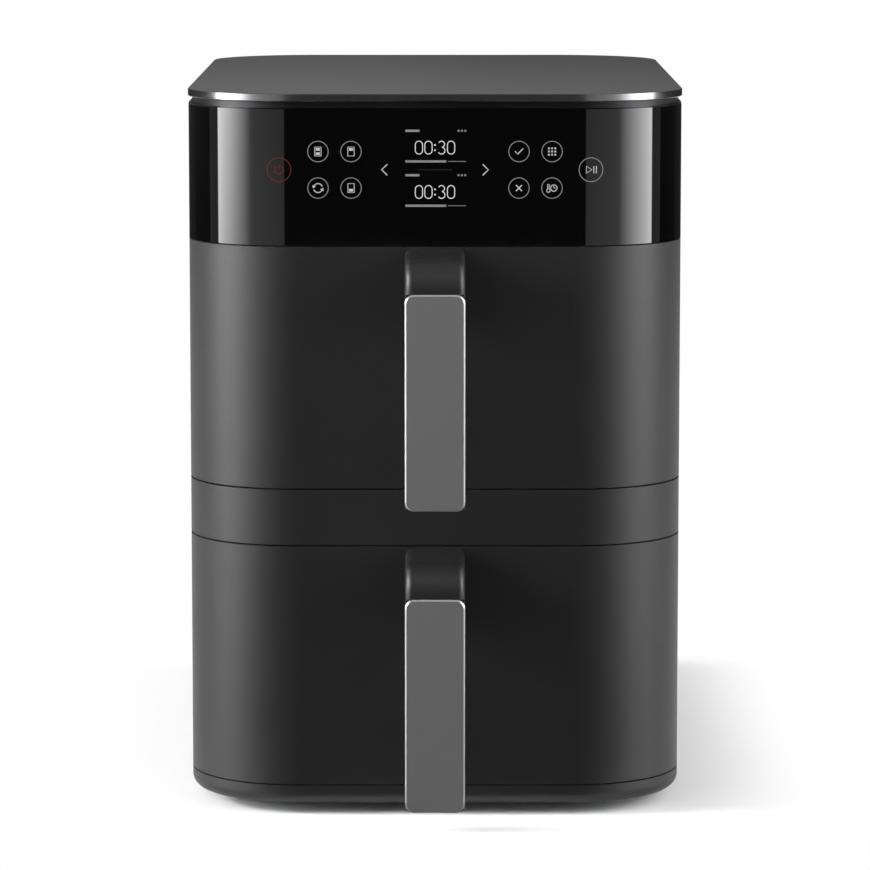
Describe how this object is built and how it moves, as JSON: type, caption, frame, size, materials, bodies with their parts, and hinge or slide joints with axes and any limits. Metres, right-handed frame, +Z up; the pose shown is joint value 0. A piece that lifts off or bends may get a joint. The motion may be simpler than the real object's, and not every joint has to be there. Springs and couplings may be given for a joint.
{
  "type": "two-drawer air fryer",
  "caption": "Upright countertop air fryer with stacked pull-out drawers, each with a basket, crisper plate and own fan and heater, under a wrap-around touch panel.",
  "frame": {"origin": "on the counter, under the middle of the box that the whole appliance fills", "axes": "+Z up, +X to the right seen from the front, +Y towards the rear; the drawers open along -Y"},
  "size_m": [0.2706, 0.471, 0.3936],
  "materials": {
    "casing_plastic": "fine-grained charcoal moulding",
    "black_plastic": "smooth black moulding",
    "panel_glass": "polished black panel",
    "lid_metal": "satin dark grey metal with a polished rim",
    "neck_metal": "dark satin metal",
    "handle_metal": "satin grey metal",
    "rubber": "black rubber",
    "silicone": "dark silicone",
    "sheet_steel": "bare sheet steel",
    "heater_steel": "heat-darkened steel sheath",
    "motor_metal": "zinc-plated can",
    "nonstick": "dark non-stick coating",
    "aluminium": "pressed aluminium",
    "screw_steel": "plated steel",
    "magnet": "sintered magnet",
    "circuit_board": "green circuit board"
  },
  "bodies": {
    "housing": {"base_tray": "casing_plastic", "rubber_feet": "rubber", "left_side_panel": "casing_plastic", "right_side_panel": "casing_plastic", "rear_cover": "casing_plastic", "cord_gland": "black_plastic", "cover_screws": "screw_steel", "centre_band": "casing_plastic", "control_glass": "panel_glass", "panel_carrier": "black_plastic", "display_module": "black_plastic", "touch_board": "circuit_board", "lid_neck": "neck_metal", "top_lid": "lid_metal", "front_frame": "sheet_steel", "temperature_probes": "sheet_steel", "thermal_fuses": "black_plastic", "drawer_sensors": "black_plastic", "power_board": "circuit_board", "upper_chamber": "sheet_steel", "upper_rails": "sheet_steel", "upper_exhaust_duct": "sheet_steel", "upper_heating_element": "heater_steel", "upper_heater_guard": "sheet_steel", "upper_fan_motor": "motor_metal", "upper_motor_bracket": "sheet_steel", "lower_chamber": "sheet_steel", "lower_rails": "sheet_steel", "lower_exhaust_duct": "sheet_steel", "lower_heating_element": "heater_steel", "lower_heater_guard": "sheet_steel", "lower_fan_motor": "motor_metal", "lower_motor_bracket": "sheet_steel"},
    "upper_drawer": {"upper_drawer_front": "casing_plastic", "upper_drawer_back_plate": "black_plastic", "upper_drawer_gasket": "silicone", "upper_drawer_magnet": "magnet", "upper_basket": "nonstick", "upper_handle_arm": "casing_plastic", "upper_handle_plate": "handle_metal", "upper_handle_screws": "screw_steel"},
    "upper_crisper": {"upper_crisper_plate": "nonstick", "upper_crisper_bumpers": "silicone"},
    "upper_rotor": {"upper_fan": "aluminium", "upper_fan_shaft": "screw_steel", "upper_fan_nut": "screw_steel"},
    "lower_drawer": {"lower_drawer_front": "casing_plastic", "lower_drawer_back_plate": "black_plastic", "lower_drawer_gasket": "silicone", "lower_drawer_magnet": "magnet", "lower_basket": "nonstick", "lower_handle_arm": "casing_plastic", "lower_handle_plate": "handle_metal", "lower_handle_screws": "screw_steel"},
    "lower_crisper": {"lower_crisper_plate": "nonstick", "lower_crisper_bumpers": "silicone"},
    "lower_rotor": {"lower_fan": "aluminium", "lower_fan_shaft": "screw_steel", "lower_fan_nut": "screw_steel"}
  },
  "joints": [
    {"name": "upper_drawer_slide", "type": "slide", "parent": "housing", "child": "upper_drawer", "axis": [0, -1, 0], "range_m": [0, 0.33]},
    {"name": "upper_crisper_lift", "type": "slide", "parent": "upper_drawer", "child": "upper_crisper", "axis": [0, 0, 1], "range_m": [0, 0.07]},
    {"name": "upper_fan_spin", "type": "hinge", "parent": "housing", "child": "upper_rotor", "pos_m": [0, 0.04128, 0.315], "axis": [0, 0, 1], "continuous": true},
    {"name": "lower_drawer_slide", "type": "slide", "parent": "housing", "child": "lower_drawer", "axis": [0, -1, 0], "range_m": [0, 0.33]},
    {"name": "lower_crisper_lift", "type": "slide", "parent": "lower_drawer", "child": "lower_crisper", "axis": [0, 0, 1], "range_m": [0, 0.07]},
    {"name": "lower_fan_spin", "type": "hinge", "parent": "housing", "child": "lower_rotor", "pos_m": [0, 0.04128, 0.152], "axis": [0, 0, 1], "continuous": true}
  ]
}
